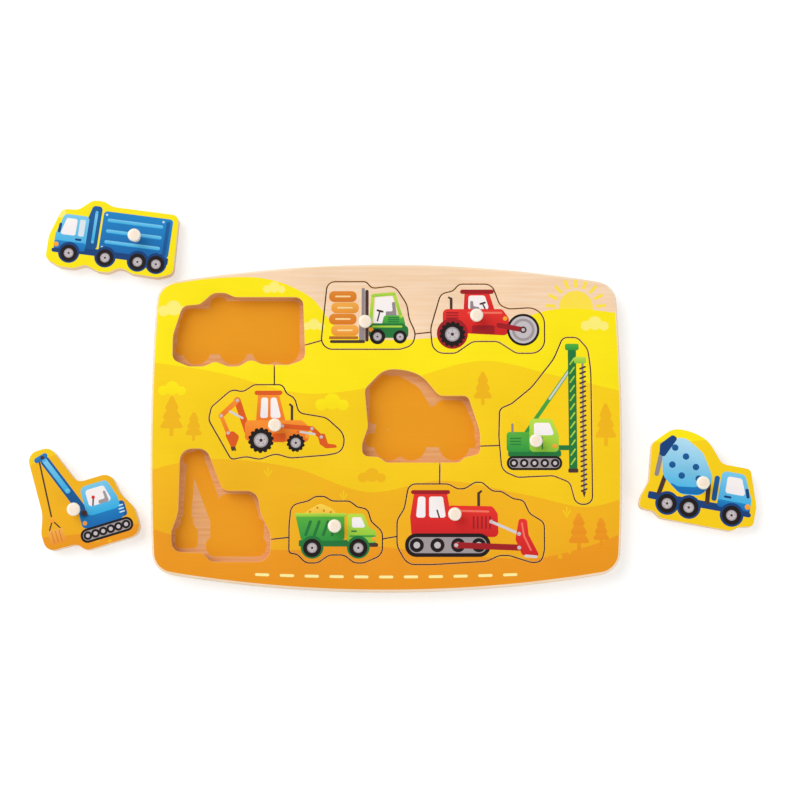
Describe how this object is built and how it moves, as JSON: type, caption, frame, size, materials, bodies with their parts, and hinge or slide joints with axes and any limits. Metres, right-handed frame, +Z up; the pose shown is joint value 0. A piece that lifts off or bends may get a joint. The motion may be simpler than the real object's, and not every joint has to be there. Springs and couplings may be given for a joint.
{
  "type": "peg puzzle",
  "caption": "Wooden peg puzzle: a bowed plywood board with sawn vehicle pieces that lift out by turned pegs; some lie beside the board, leaving open recesses.",
  "frame": {"origin": "middle of the board's underside", "axes": "+X to the right along the board's long side, +Y to its back edge, +Z up out of the printed face"},
  "size_m": [0.4616, 0.2528, 0.02],
  "materials": {
    "base_ply": "bare plywood, lightly sanded",
    "board_print": "plywood with a satin yellow print",
    "blue_print": "plywood with a satin print, mainly blue",
    "green_print": "plywood with a satin print, mainly green",
    "red_print": "plywood with a satin print, mainly red",
    "orange_print": "plywood with a satin print, mainly orange",
    "peg_wood": "turned pale wood, clear satin"
  },
  "bodies": {
    "board": {"base_plate": "base_ply", "top_plate": "board_print"},
    "box_truck_piece": {"box_truck": "blue_print", "box_truck_peg": "peg_wood"},
    "forklift_piece": {"forklift": "green_print", "forklift_peg": "peg_wood"},
    "road_roller_piece": {"road_roller": "red_print", "road_roller_peg": "peg_wood"},
    "backhoe_piece": {"backhoe": "orange_print", "backhoe_peg": "peg_wood"},
    "mixer_truck_piece": {"mixer_truck": "blue_print", "mixer_truck_peg": "peg_wood"},
    "drill_rig_piece": {"drill_rig": "green_print", "drill_rig_peg": "peg_wood"},
    "crane_truck_piece": {"crane_truck": "blue_print", "crane_truck_peg": "peg_wood"},
    "dump_truck_piece": {"dump_truck": "green_print", "dump_truck_peg": "peg_wood"},
    "bulldozer_piece": {"bulldozer": "red_print", "bulldozer_peg": "peg_wood"}
  },
  "joints": [
    {"name": "box_truck_lift", "type": "slide", "parent": "board", "child": "box_truck_piece", "axis": [0, 0, 1], "range_m": [0, 0.03]},
    {"name": "forklift_lift", "type": "slide", "parent": "board", "child": "forklift_piece", "axis": [0, 0, 1], "range_m": [0, 0.03]},
    {"name": "road_roller_lift", "type": "slide", "parent": "board", "child": "road_roller_piece", "axis": [0, 0, 1], "range_m": [0, 0.03]},
    {"name": "backhoe_lift", "type": "slide", "parent": "board", "child": "backhoe_piece", "axis": [0, 0, 1], "range_m": [0, 0.03]},
    {"name": "mixer_truck_lift", "type": "slide", "parent": "board", "child": "mixer_truck_piece", "axis": [0, 0, 1], "range_m": [0, 0.03]},
    {"name": "drill_rig_lift", "type": "slide", "parent": "board", "child": "drill_rig_piece", "axis": [0, 0, 1], "range_m": [0, 0.03]},
    {"name": "crane_truck_lift", "type": "slide", "parent": "board", "child": "crane_truck_piece", "axis": [0, 0, 1], "range_m": [0, 0.03]},
    {"name": "dump_truck_lift", "type": "slide", "parent": "board", "child": "dump_truck_piece", "axis": [0, 0, 1], "range_m": [0, 0.03]},
    {"name": "bulldozer_lift", "type": "slide", "parent": "board", "child": "bulldozer_piece", "axis": [0, 0, 1], "range_m": [0, 0.03]}
  ]
}
